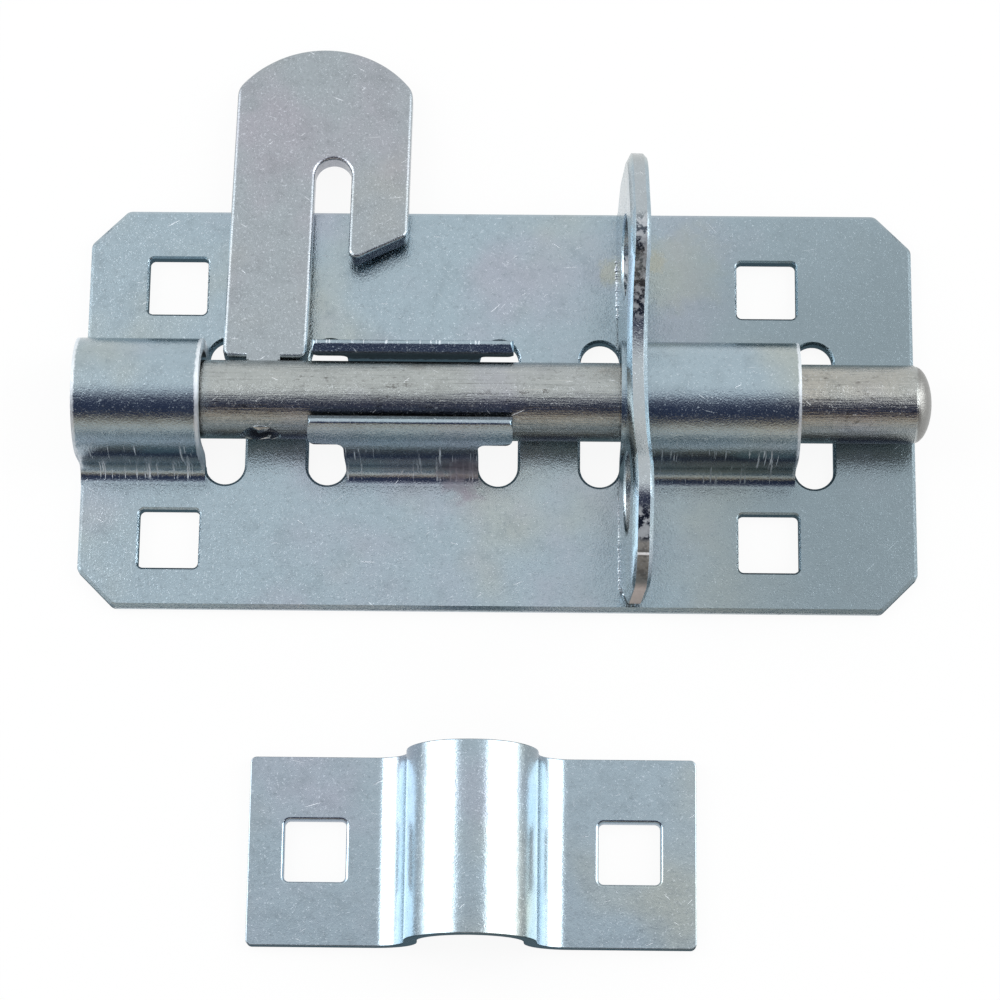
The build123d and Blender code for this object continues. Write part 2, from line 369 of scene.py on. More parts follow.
@dataclass(frozen=True)
class CutRim:
    """The padlock plate's punched edge, with its zones as heights along Y."""

    facing: Span = (0.55, 0.35)
    blots: Patches = Patches(0.62, 6.0, 0.75, 0.44, 0.55)
    upper_zone: tuple[Span, Span] = ((8.0, 10.5), (24.0, 21.5))
    middle_zone: tuple[Span, Span] = ((-27.4, -26.0), (-20.6, -22.8))
    foot_zone: Span = (-25.6, -26.8)
    rim_tint: Colour = (0.47, 0.48, 0.485)
    rim_amount: float = 0.55
    clear_tint: Colour = (0.40, 0.42, 0.44)
    clear_amount: float = 0.9
    blot_tint: Colour = (0.065, 0.085, 0.11)
    blot_amount: float = 0.9
    smears: Patches = Patches(0.7, 4.0, 0.7, 0.45, 0.62)
    light_brown: Colour = (0.27, 0.26, 0.24)
    dark_brown: Colour = (0.15, 0.145, 0.135)
    toe_zone: Span = (-31.3, -32.3)
    toe_tint: Colour = (0.95, 0.78, 0.68)
    nick_height: float = -28.1
    nick_edge: Span = (0.24, 0.10)
    nick_tint: Colour = (0.97, 0.97, 0.97)
    foot_amount: float = 0.95
    dulls: float = 0.42

    def masks(self, graph: Graph, place: Socket) -> RimMasks:
        """Find the parts of the edge.

        Args:
            graph: The material's graph.
            place: Position in millimetres.

        Returns:
            A mask for each part.
        """
        normal = graph.add("ShaderNodeNewGeometry").outputs["Normal"]
        whole = graph.ramp(graph.math("ABSOLUTE", graph.axes(normal)["X"]), *self.facing)
        height = graph.axes(place)["Y"]
        zones = graph.larger(
            graph.band(height, *self.upper_zone), graph.band(height, *self.middle_zone)
        )
        blotted = graph.times(zones, self.blots.mask(graph, place))
        clear = graph.math("SUBTRACT", zones, blotted)
        foot = graph.ramp(height, *self.foot_zone)
        parts = [graph.times(mask, whole) for mask in (blotted, foot, clear)]
        return RimMasks(*parts, whole)

    def tint(self, graph: Graph, place: Socket, colour: Socket, rim: RimMasks) -> Socket:
        """Darken the edge in blots and brown its foot.

        Args:
            graph: The material's graph.
            place: Position in millimetres.
            colour: The colour so far.
            rim: The edge's masks.

        Returns:
            The colour with the edge's own laid over it.
        """
        colour = graph.cover(colour, rim.whole, self.rim_amount, self.rim_tint)
        colour = graph.cover(colour, rim.clear, self.clear_amount, self.clear_tint)
        colour = graph.cover(colour, rim.blotted, self.blot_amount, self.blot_tint)
        height = graph.axes(place)["Y"]
        brown = graph.mix(self.smears.mask(graph, place), self.light_brown, self.dark_brown)
        brown = graph.mix(graph.ramp(height, *self.toe_zone), brown, self.toe_tint)
        gap = graph.math("ABSOLUTE", graph.plus(height, -self.nick_height))
        brown = graph.mix(graph.ramp(gap, *self.nick_edge), brown, self.nick_tint)
        return graph.cover(colour, rim.foot, self.foot_amount, brown)


@dataclass(frozen=True)
class ZincFinish:
    """Bright zinc plating on steel, with its cloudiness, grain, tints and handling marks,
    painted edge highlights and painted shade round the bolt's axis.
    """

    name: str
    base: Colour = (0.365, 0.46, 0.52)
    warm: Colour = (0.44, 0.46, 0.40)
    warm_amount: float = 0.6
    warm_patches: Patches = Patches(0.035, 3.0, 0.5, 0.50, 0.72)
    lilac: Colour = (0.41, 0.42, 0.50)
    lilac_amount: float = 0.6
    lilac_patches: Patches = Patches(0.05, 3.0, 0.5, 0.48, 0.75)
    lilac_shift: Place = (31.0, -17.0, 9.0)
    mottle: float = 0.28
    mottle_shade: float = 0.55
    specks: Patches = Patches(1.7, 4.0, 0.7, 0.50, 0.78)
    clouds: Patches = Patches(0.30, 5.0, 0.65, 0.45, 0.75)
    roughness: float = 0.155
    rough_spread: float = 0.08
    rough_noise: Noise = Noise(0.25, 4.0, 0.6)
    rough_cloud: Span = (0.3, 0.7)
    grain: Noise = Noise(4.2, 2.0, 0.6)
    grain_depth: float = 0.042
    peel: Noise = Noise(0.8)
    peel_depth: float = 0.022
    wave: Noise = Noise(0.12)
    wave_depth: float = 0.05
    scratch_depth: float = 0.012
    streak_depth: float = 0.05
    crystals: Patches = Patches(3.2, 2.0, 0.6, 0.58, 0.70)
    crystal_tint: Colour = (0.78, 0.83, 0.88)
    crystal_amount: float = 0.25
    crystal_rough: float = 0.25
    scratch_cell: float = 3.4
    scratch_share: float = 0.12
    scratch_width: float = 0.045
    scratch_ends: Span = (0.42, 0.18)
    scratch_layers: tuple[Span, ...] = ((1.0, 1.0), (0.47, 0.7))
    scratch_tint: Colour = (0.90, 0.93, 0.96)
    scratch_amount: float = 0.75
    scratch_rough: float = 0.6
    streaks: float = 0.0
    streak_stretch: Place = (0.05, 3.0, 3.0)
    streak_noise: Noise = Noise(1.0, 5.0, 0.7)
    streak_dark: Span = (0.52, 0.70)
    streak_light: Span = (0.40, 0.28)
    streak_shade: float = 0.35
    streak_pale: Colour = (0.70, 0.70, 0.66)
    pits: float = 0.0
    pit_tint: Colour = (0.10, 0.095, 0.09)
    pit_stretch: Place = (0.55, 1.0, 1.0)
    pit_spots: Patches = Patches(1.3, 4.0, 0.7, 0.55, 0.66)
    pit_field_stretch: Place = (0.06, 0.14, 0.14)
    pit_fields: Patches = Patches(1.0, 2.0, 0.5, 0.42, 0.62)
    draw_marks: float = 0.0
    draw_side: tuple[Span, Span] = ((7.9, 8.4), (12.6, 11.4))
    draw_height: tuple[Span, Span] = ((2.05, 2.3), (12.6, 11.0))
    draw_stretch: Place = (2.4, 0.07, 0.07)
    draw_lines: Patches = Patches(1.0, 3.0, 0.65, 0.60, 0.65)
    rim: CutRim | None = None
    # Painted highlight: a pale colour and more roughness along the guides' end edges stand in
    # for the light those edges catch.
    highlight_ends: tuple[float, ...] = ()
    highlight_fray: Noise = Noise(1.1, 3.0)
    highlight_edge: Span = (0.85, 0.55)
    highlight_height: Span = (2.3, 4.0)
    highlight_tint: Colour = (0.80, 0.85, 0.89)
    highlight_amount: float = 0.85
    highlight_rough: float = 0.3
    # Painted shade: a dark colour where the surface lies close round the bolt's axis, inside
    # the guides and under the bolt.
    painted_shade_reach: float = 0.0
    painted_shade_fray: Noise = Noise(1.5, 3.0)
    painted_shade_edge: Span = (0.4, 0.15)
    painted_shade_tint: Colour = (0.045, 0.05, 0.055)
    painted_shade_amount: float = 0.9
    painted_shade_rough: float = 0.2
    fray: float = 0.5
    stains_and_shade: tuple[StainAndShade, ...] = ()

    def build(self) -> bpy.types.Material:
        """Make the material.

        Returns:
            The finished node material, on Object coordinates.
        """
        material, graph = new_material(self.name)
        place = graph.add("ShaderNodeTexCoord").outputs["Object"]
        place = graph.moved(place, scale=(1 / MM, 1 / MM, 1 / MM))
        rim = self.rim.masks(graph, place) if self.rim else None
        scratch = self.scratches(graph, place)
        crystal = self.crystals.mask(graph, place)
        rough = self.roughness_value(graph, place, scratch, crystal, rim)
        colour = self.tints(graph, place)
        if self.rim:
            colour = self.rim.tint(graph, place, colour, rim)
        colour = graph.cover(colour, scratch, self.scratch_amount, self.scratch_tint)
        colour = graph.cover(colour, crystal, self.crystal_amount, self.crystal_tint)
        # Lay the spots: real stains, and painted shade in the bolt's cross hole.
        for stain_and_shade in self.stains_and_shade:
            mask = stain_and_shade.mask(graph, place)
            colour = graph.cover(colour, mask, stain_and_shade.amount, stain_and_shade.colour)
            if stain_and_shade.dulls > 0:
                rough = graph.plus(rough, graph.times(mask, stain_and_shade.dulls))
        # Painted highlight along the guides' end edges.
        if self.highlight_ends:
            painted_highlight = self.painted_highlight_mask(graph, place)
            colour = graph.cover(colour, painted_highlight, self.highlight_amount, self.highlight_tint)
            rough = graph.plus(rough, graph.times(painted_highlight, self.highlight_rough))
        # Painted shade close round the bolt's axis.
        if self.painted_shade_reach > 0:
            painted_shade = self.painted_shade_mask(graph, place)
            colour = graph.cover(colour, painted_shade, self.painted_shade_amount, self.painted_shade_tint)
            rough = graph.plus(rough, graph.times(painted_shade, self.painted_shade_rough))
        shader = graph.add(
            "ShaderNodeBsdfPrincipled",
            {
                "Base Color": colour,
                "Roughness": rough,
                "Metallic": 1.0,
                "Normal": self.relief(graph, place, scratch),
            },
        )
        graph.add("ShaderNodeOutputMaterial", {"Surface": shader.outputs[0]})
        return material

    def shade(self, share: float) -> Colour:
        """Return a share of the plating's own colour."""
        return tuple(share * part for part in self.base)

    def tints(self, graph: Graph, place: Socket) -> Socket:
        """Tint the plating with its films, specks, clouds, streaks and pits.

        Args:
            graph: The material's graph.
            place: Position in millimetres.

        Returns:
            The colour.
        """
        warm = self.warm_patches.mask(graph, place)
        lilac = self.lilac_patches.mask(graph, graph.moved(place, self.lilac_shift))
        dull = self.shade(self.mottle_shade)
        colour = graph.cover(self.base, warm, self.warm_amount, self.warm)
        colour = graph.cover(colour, lilac, self.lilac_amount, self.lilac)
        colour = graph.cover(colour, self.specks.mask(graph, place), 2 * self.mottle, dull)
        colour = graph.cover(colour, self.clouds.mask(graph, place), self.mottle, dull)
        if self.streaks > 0:
            lines = self.streak_lines(graph, place)
            dark = graph.ramp(lines, *self.streak_dark)
            colour = graph.cover(colour, dark, self.streaks, self.shade(self.streak_shade))
            pale = graph.ramp(lines, *self.streak_light)
            colour = graph.cover(colour, pale, self.streaks, self.streak_pale)
        if self.pits > 0:
            spots = self.pit_spots.mask(graph, graph.moved(place, scale=self.pit_stretch))
            fields = self.pit_fields.mask(
                graph, graph.moved(place, scale=self.pit_field_stretch)
            )
            colour = graph.cover(
                colour, graph.times(spots, fields), self.pits, self.pit_tint
            )
        return colour

    def streak_lines(self, graph: Graph, place: Socket) -> Socket:
        """Return the noise, drawn out along the bolt, that its streaks come from."""
        return self.streak_noise.read(graph, graph.moved(place, scale=self.streak_stretch))

    def painted_highlight_mask(self, graph: Graph, place: Socket) -> Socket:
        """Find where the guides' end edges get a painted highlight.

        Args:
            graph: The material's graph.
            place: Position in millimetres.

        Returns:
            The mask.
        """
        axes = graph.axes(place)
        frayed = graph.times(self.highlight_fray.read(graph, place), self.fray)
        painted_highlight = 0.0
        for end in self.highlight_ends:
            gap = graph.math("ABSOLUTE", graph.math("SUBTRACT", axes["X"], end))
            painted_highlight = graph.larger(painted_highlight, graph.ramp(graph.plus(gap, frayed), *self.highlight_edge))
        return graph.times(painted_highlight, graph.ramp(axes["Z"], *self.highlight_height))

    def painted_shade_mask(self, graph: Graph, place: Socket) -> Socket:
        """Find where the surface lies close round the bolt's axis, where shade is painted.

        Args:
            graph: The material's graph.
            place: Position in millimetres.

        Returns:
            The mask.
        """
        offset = graph.moved(place, (0.0, 0.0, -BOLT_AXIS_Z), (0.0, 1.0, 1.0))
        distance = graph.vector("LENGTH", offset).outputs["Value"]
        frayed = graph.times(self.painted_shade_fray.read(graph, place), self.fray)
        low, high = (self.painted_shade_reach + step for step in self.painted_shade_edge)
        return graph.ramp(graph.plus(distance, frayed), low, high)

    def scratches(self, graph: Graph, place: Socket) -> Socket:
        """Draw short bright scratches in random directions, and the die's marks.

        Args:
            graph: The material's graph.
            place: Position in millimetres.

        Returns:
            Their mask.
        """
        mask = 0.0
        for size, width in self.scratch_layers:
            cells = graph.add(
                "ShaderNodeTexVoronoi",
                {
                    "Vector": place,
                    "Scale": 1 / (self.scratch_cell * size),
                    "Randomness": 1.0,
                },
            ).outputs
            offset = graph.vector("SUBTRACT", place, cells["Position"]).outputs[0]
            across = graph.vector("SUBTRACT", cells["Color"], (0.5, 0.5, 0.5)).outputs[0]
            across = graph.vector("NORMALIZE", across).outputs[0]
            distance = graph.vector("DOT_PRODUCT", offset, across).outputs["Value"]
            thin = graph.ramp(
                graph.math("ABSOLUTE", distance), 2 * self.scratch_width * width, 0.0
            )
            short = graph.ramp(cells["Distance"], *self.scratch_ends)
            draw = graph.add("ShaderNodeSeparateColor", {"Color": cells["Color"]}).outputs[1]
            chosen = graph.ramp(draw, 1.0 - self.scratch_share, 1.0)
            mask = graph.larger(mask, graph.times(graph.times(thin, short), chosen))
        if self.draw_marks > 0:
            mask = graph.larger(mask, self.die_marks(graph, place))
        return mask

    def die_marks(self, graph: Graph, place: Socket) -> Socket:
        """Draw the bright lines that the bending die left on the loops' feet.

        Args:
            graph: The material's graph.
            place: Position in millimetres.

        Returns:
            Their mask.
        """
        axes = graph.axes(place)
        side = graph.math("ABSOLUTE", axes["Y"])
        zone = graph.times(
            graph.band(side, *self.draw_side), graph.band(axes["Z"], *self.draw_height)
        )
        lines = self.draw_lines.mask(graph, graph.moved(place, scale=self.draw_stretch))
        return graph.times(graph.times(lines, zone), self.draw_marks)

    def roughness_value(
        self,
        graph: Graph,
        place: Socket,
        scratch: Socket,
        crystal: Socket,
        rim: RimMasks | None,
    ) -> Socket:
        """Work out the roughness, cloudy over the surface and higher on the marks.

        Args:
            graph: The material's graph.
            place: Position in millimetres.
            scratch: Mask of the scratches.
            crystal: Mask of the coarse crystals.
            rim: Masks of the cut edge, if the finish has one.

        Returns:
            The roughness.
        """
        low, high = self.rough_cloud
        rough = graph.add(
            "ShaderNodeMapRange",
            {
                "Value": self.rough_noise.read(graph, place),
                "From Min": low,
                "From Max": high,
                "To Min": self.roughness - self.rough_spread / 2,
                "To Max": self.roughness + self.rough_spread / 2,
            },
        ).outputs["Result"]
        rough = graph.plus(rough, graph.times(scratch, self.scratch_rough))
        if rim:
            dull = graph.larger(rim.clear, rim.foot)
            rough = graph.plus(rough, graph.times(dull, self.rim.dulls))
        return graph.math("ADD", rough, graph.times(crystal, self.crystal_rough), clamp=True)

    def relief(self, graph: Graph, place: Socket, scratch: Socket) -> Socket:
        """Bend the normal by the plating's grain, its waviness and the scratches.

        Args:
            graph: The material's graph.
            place: Position in millimetres.
            scratch: Mask of the scratches.

        Returns:
            The normal.
        """
        height = graph.times(self.grain.read(graph, place), self.grain_depth)
        for noise, depth in ((self.peel, self.peel_depth), (self.wave, self.wave_depth)):
            height = graph.plus(height, graph.times(noise.read(graph, place), depth))
        height = graph.math("SUBTRACT", height, graph.times(scratch, self.scratch_depth))
        if self.streaks > 0:
            lines = self.streak_lines(graph, place)
            height = graph.plus(height, graph.times(lines, self.streak_depth))
        bump = graph.add(
            "ShaderNodeBump", {"Strength": 1.0, "Distance": MM, "Height": height}
        )
        return bump.outputs[0]


@dataclass(frozen=True)
class EdgeWork:
    """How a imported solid's facets are joined and its sharp edges broken."""

    merge: float = 2e-6
    flat_degrees: float = 0.4
    sharp_degrees: float = 32.0
    width: float = 0.22 * MM
    segments: int = 2
    flat_weight: int = 60

    def dressed_copy(self, node: bpy.types.Object, name: str) -> bpy.types.Object:
        """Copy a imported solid, join its facets, break its edges and smooth it.

        Args:
            node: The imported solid's object.
            name: Name of the new piece.

        Returns:
            The new object, at the origin, with its modifiers applied.
        """
        mesh = node.data.copy()
        mesh.name = name
        work = bmesh.new()
        work.from_mesh(mesh)
        bmesh.ops.remove_doubles(work, verts=work.verts, dist=self.merge)
        bmesh.ops.dissolve_limit(
            work,
            angle_limit=math.radians(self.flat_degrees),
            verts=work.verts,
            edges=work.edges,
            delimit=set(),
        )
        for face in work.faces:
            face.smooth = True
        work.to_mesh(mesh)
        work.free()
        mesh.materials.clear()
        piece = new_object(name, mesh)
        bevel = piece.modifiers.new("edges", "BEVEL")
        bevel.width = self.width
        bevel.segments = self.segments
        bevel.limit_method = "ANGLE"
        bevel.angle_limit = math.radians(self.sharp_degrees)
        bevel.use_clamp_overlap = True
        weighted = piece.modifiers.new("flats", "WEIGHTED_NORMAL")
        weighted.keep_sharp = False
        weighted.weight = self.flat_weight
        return bake_modifiers(piece)


def evaluated_mesh(piece: bpy.types.Object) -> bpy.types.Mesh:
    """Apply a piece's modifiers to a new mesh.

    Args:
        piece: The object, which stays as it is.

    Returns:
        The new mesh.
    """
    bpy.context.view_layer.update()
    graph = bpy.context.evaluated_depsgraph_get()
    return bpy.data.meshes.new_from_object(piece.evaluated_get(graph))


def bake_modifiers(piece: bpy.types.Object) -> bpy.types.Object:
    """Turn a piece's modifiers into plain mesh and remove them.

    Args:
        piece: The object to finish.

    Returns:
        The same object.
    """
    finished = evaluated_mesh(piece)
    finished.name = piece.name
    old = piece.data
    piece.modifiers.clear()
    piece.data = finished
    bpy.data.meshes.remove(old)
    return piece


def dress(piece: bpy.types.Object, finish: bpy.types.Material, body: Body) -> None:
    """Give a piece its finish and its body.

    Args:
        piece: The finished piece.
        finish: Its material.
        body: The body that it rides on.
    """
    piece.data.materials.clear()
    piece.data.materials.append(finish)
    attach(piece, body.value)
    LOG.info("%s: %d faces on %s", piece.name, len(piece.data.polygons), body.value)


@dataclass(frozen=True)
class BeadRun:
    """One run of weld beads: its ends in millimetres, bead count, bead radius and jitter."""

    start: Place
    end: Place
    count: int
    radius: float
    jitter: float


@dataclass
class WeldSeam:
    """The thin weld along the padlock plate's feet, as rows of small uneven beads."""

    name: str
    runs: tuple[BeadRun, ...]
    seed: int = 7
    lift_share: float = 0.3
    smallest: Place = (0.7, 0.7, 0.5)
    largest: Place = (1.5, 1.2, 1.0)

    def random_vector(self, graph: Graph, low: Value, high: Value, step: int) -> Socket:
        """Return a random vector for each bead.

        Args:
            graph: The node group's graph.
            low: Its lowest value.
            high: Its highest value.
            step: What is added to the seed.

        Returns:
            The vector.
        """
        return graph.add(
            "FunctionNodeRandomValue",
            {0: low, 1: high, "Seed": self.seed + step},
            data_type="FLOAT_VECTOR",
        ).outputs[0]

    def tree(self) -> tuple[bpy.types.NodeTree, dict[str, str]]:
        """Build the node group that strings beads along a line.

        Returns:
            The group, and the identifier of each of its named inputs.
        """
        tree = bpy.data.node_groups.new("weld_beads", "GeometryNodeTree")
        kinds = {
            "Start": "NodeSocketVector",
            "End": "NodeSocketVector",
            "Count": "NodeSocketInt",
            "Radius": "NodeSocketFloat",
            "Jitter": "NodeSocketVector",
            "Material": "NodeSocketMaterial",
        }
        sockets = {
            name: tree.interface.new_socket(name=name, in_out="INPUT", socket_type=kind)
            for name, kind in kinds.items()
        }
        tree.interface.new_socket(
            name="Geometry", in_out="OUTPUT", socket_type="NodeSocketGeometry"
        )
        graph = Graph(tree)
        given = graph.add("NodeGroupInput").outputs
        line = graph.add(
            "GeometryNodeMeshLine",
            {"Count": given["Count"], "Start Location": given["Start"], "Offset": given["End"]},
            mode="END_POINTS",
        ).outputs[0]
        negative = graph.add(
            "ShaderNodeVectorMath", {0: given["Jitter"], "Scale": -1.0}, operation="SCALE"
        ).outputs[0]
        shift = self.random_vector(graph, negative, given["Jitter"], 0)
        points = graph.add(
            "GeometryNodeSetPosition", {"Geometry": line, "Offset": shift}
        ).outputs[0]
        bead = graph.add(
            "GeometryNodeMeshIcoSphere", {"Radius": given["Radius"], "Subdivisions": 2}
        ).outputs[0]
        turn = self.random_vector(graph, (0.0, 0.0, 0.0), (math.tau, math.tau, math.tau), 1)
        size = self.random_vector(graph, self.smallest, self.largest, 2)
        beads = graph.add(
            "GeometryNodeInstanceOnPoints",
            {"Points": points, "Instance": bead, "Rotation": turn, "Scale": size},
        ).outputs[0]
        solid = graph.add("GeometryNodeRealizeInstances", {0: beads}).outputs[0]
        soft = graph.add("GeometryNodeSetShadeSmooth", {0: solid}).outputs[0]
        painted = graph.add(
            "GeometryNodeSetMaterial", {"Geometry": soft, "Material": given["Material"]}
        ).outputs[0]
        graph.add("NodeGroupOutput", {"Geometry": painted})
        return tree, {name: socket.identifier for name, socket in sockets.items()}

    def build(self, finish: bpy.types.Material) -> bpy.types.Object:
        """String the beads and return them as one plain mesh.

        Args:
            finish: The weld's material.

        Returns:
            The finished piece, at the origin.
        """
        tree, inputs = self.tree()
        piece = new_object(self.name, bpy.data.meshes.new(self.name))
        joined = bmesh.new()
        for run in self.runs:
            jitter = run.jitter * MM
            beads = piece.modifiers.new("beads", "NODES")
            beads.node_group = tree
            beads[inputs["Start"]] = tuple(part * MM for part in run.start)
            beads[inputs["End"]] = tuple(part * MM for part in run.end)
            beads[inputs["Count"]] = run.count
            beads[inputs["Radius"]] = run.radius * MM
            beads[inputs["Jitter"]] = (jitter, jitter, self.lift_share * jitter)
            beads[inputs["Material"]] = finish
            made = evaluated_mesh(piece)
            joined.from_mesh(made)
            bpy.data.meshes.remove(made)
            piece.modifiers.clear()
        for face in joined.faces:
            face.smooth = True
        joined.to_mesh(piece.data)
        joined.free()
        return piece


@dataclass
class RivetHead:
    """The tenon's end, spread by a few punch blows inside the cross hole's far mouth."""

    centre: Place = (TENON_X, -5.62, 8.93)
    radius: float = 2.6
    facets: int = 7
    dish: float = 1.1
    depth: float = 0.8
    rim_sink: float = -0.15
    unevenness: float = 0.3
    rings: tuple[Span, ...] = ((1.0, 0.0), (0.72, 0.25), (0.40, 0.1), (0.14, 0.3))
    seed: int = 11

    def build(self) -> bpy.types.Object:
        """Make the faceted end.

        Returns:
            The finished piece, at the origin.
        """
        dice = random.Random(self.seed)
        tilt = math.radians(HANDLE_TILT)
        out = Vector((0.0, -math.cos(tilt), -math.sin(tilt)))
        along = Vector((1.0, 0.0, 0.0))
        across = out.cross(along)
        centre = Vector(self.centre) * MM
        work = bmesh.new()
        rows = []
        for share, rise in self.rings:
            row = []
            for step in range(self.facets):
                uneven = dice.uniform(-self.unevenness, self.unevenness)
                angle = math.tau * (step + uneven) / self.facets
                sink = self.rim_sink if share == 1.0 else rise - self.dish * dice.random()
                spot = along * math.cos(angle) + across * math.sin(angle)
                offset = spot * self.radius * share + out * sink
                row.append(work.verts.new(centre + offset * MM))
            rows.append(row)
        back = [work.verts.new(vertex.co - out * self.depth * MM) for vertex in rows[0]]
        for outer, inner in zip([back, *rows[:-1]], rows):
            for step in range(self.facets):
                following = (step + 1) % self.facets
                work.faces.new((outer[step], outer[following], inner[following], inner[step]))
        work.faces.new(rows[-1])
        work.faces.new(list(reversed(back)))
        bmesh.ops.recalc_face_normals(work, faces=work.faces)
        mesh = bpy.data.meshes.new("rivet_head")
        work.to_mesh(mesh)
        work.free()
        return new_object("rivet_head", mesh)


SHEET_TINTS = (
    StainAndShade((21.6, 23.4, 2.0), 2.2, (0.48, 0.46, 0.24), 0.32, length=1.4),
    StainAndShade((28.6, 24.6, 2.0), 2.0, (0.50, 0.42, 0.22), 0.35, length=1.3),
    StainAndShade((32.0, 24.0, 2.0), 9.0, (0.46, 0.47, 0.37), 0.35),
    # Darker towards the sheet's nose end on its flat face, fading out by the middle.
    StainAndShade((84.0, -12.0, 2.0), 84.0, (0.22, 0.28, 0.31), 0.8, ragged=0.2, ceiling=3.0),
    StainAndShade((-0.5, -10.2, 4.2), 5.0, (0.33, 0.29, 0.34), 0.75, length=1.3, dulls=0.25),
    StainAndShade((-21.0, -9.5, 3.0), 3.0, (0.34, 0.31, 0.33), 0.5, dulls=0.2),
)
# Darkens the bolt's nose end, with a sharp edge that draws the nose seam.
NOSE_DARK_CAP = StainAndShade(
    (76.0, 0.0, BOLT_AXIS_Z),
    10.3,
    (0.25, 0.25, 0.24),
    0.95,
    ragged=0.03,
    dulls=0.2,
    fade=0.04,
)
BAR_STAINS_AND_SHADE = (
    NOSE_DARK_CAP,
    # Painted shade in the bolt's cross hole, round the tenon.
    StainAndShade((TENON_X, -5.96, 8.97), 3.4, (0.10, 0.09, 0.08), 0.9, ragged=0.4),
    StainAndShade((30.0, 5.2, 11.0), 14.0, (0.20, 0.14, 0.09), 0.3, length=0.4),
    StainAndShade((-5.0, 5.6, 10.4), 9.0, (0.16, 0.12, 0.09), 0.4, length=0.3),
)
# Painted shade on the tenon where it sits in the bolt's cross hole.
HANDLE_HOLE_SHADE = (StainAndShade((TENON_X, -5.5, 8.9), 3.2, (0.045, 0.042, 0.04), 1.0, ragged=0.2),)
# Darkens the padlock plate's foot where it meets the sheet, beside the weld stub.
LOCK_FOOT_DARKENING = (StainAndShade((26.0, -28.9, 2.6), 1.2, (0.05, 0.055, 0.06), 0.8),)
SHEET_ZINC = ZincFinish(
    "zinc_sheet",
    draw_marks=0.9,
    # Painted shade round the bolt's axis.
    painted_shade_reach=7.5,
    # Painted highlights on the guides' end edges.
    highlight_ends=(-59.6, -40.6, 49.9),
    stains_and_shade=SHEET_TINTS,
)
BAR_ZINC = ZincFinish(
    "zinc_bar",
    base=(0.41, 0.44, 0.435),
    warm=(0.43, 0.40, 0.34),
    streaks=0.50,
    pits=0.75,
    streak_stretch=(0.11, 3.4, 3.4),
    mottle=0.34,
    grain_depth=0.040,
    roughness=0.13,
    stains_and_shade=BAR_STAINS_AND_SHADE,
)
HANDLE_ZINC = ZincFinish(
    "zinc_handle",
    base=(0.355, 0.40, 0.43),
    warm=(0.41, 0.40, 0.36),
    lilac=(0.39, 0.38, 0.43),
    lilac_amount=0.7,
    roughness=0.26,
    stains_and_shade=HANDLE_HOLE_SHADE,
)
LOCK_ZINC = ZincFinish("zinc_lock", rim=CutRim(), peel_depth=0.03, stains_and_shade=LOCK_FOOT_DARKENING)
KEEPER_ZINC = ZincFinish(
    "zinc_keeper", base=(0.36, 0.45, 0.51), roughness=0.21, grain_depth=0.016
)
WELD_ZINC = ZincFinish("zinc_weld", base=(0.55, 0.60, 0.64), roughness=0.28)
BURNT_WELD = ZincFinish(
    "burnt_weld", base=(0.10, 0.12, 0.14), warm=(0.14, 0.11, 0.08), roughness=0.4
)
RIVET_ZINC = ZincFinish(
    "zinc_rivet", base=(0.45, 0.45, 0.43), mottle=0.9, roughness=0.14
)
SEAM_RUNS = (
    BeadRun((22.62, 15.6, 2.02), (22.52, 24.6, 2.02), 40, 0.26, 0.12),
    BeadRun((22.95, -13.4, 2.02), (23.06, -27.6, 2.02), 60, 0.22, 0.08),
    BeadRun((23.05, -24.5, 2.05), (23.9, -28.6, 2.05), 22, 0.36, 0.10),
)
STUB_RUNS = (BeadRun((24.9, -28.9, 2.0), (26.6, -29.0, 2.0), 18, 0.40, 0.35),)
DRESSED = (
    ("base_plate", "pressed_sheet", SHEET_ZINC, Body.SHEET),
    ("staple_plate", "padlock_plate", LOCK_ZINC, Body.SHEET),
    ("keeper", "arched_keeper", KEEPER_ZINC, Body.SHEET),
    ("bolt_rod", "round_bolt", BAR_ZINC, Body.BOLT),
    ("handle", "hook_handle", HANDLE_ZINC, Body.BOLT),
)
WELDS = (("weld_seam", SEAM_RUNS, WELD_ZINC), ("weld_stub", STUB_RUNS, BURNT_WELD))


@dataclass
class Padbolt:
    """The padbolt's five dressed solids, with the rivet's end and the welds."""

    nodes: dict[str, bpy.types.Object]
    edges: EdgeWork = EdgeWork()

    def build(self) -> None:
        """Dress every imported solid, then add the rivet's end and the welds."""
        for node, name, finish, body in DRESSED:
            piece = self.edges.dressed_copy(self.nodes[node], name)
            dress(piece, finish.build(), body)
            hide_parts(node)
        dress(RivetHead().build(), RIVET_ZINC.build(), Body.BOLT)
        for name, runs, finish in WELDS:
            metal = finish.build()
            dress(WeldSeam(name, runs).build(metal), metal, Body.SHEET)


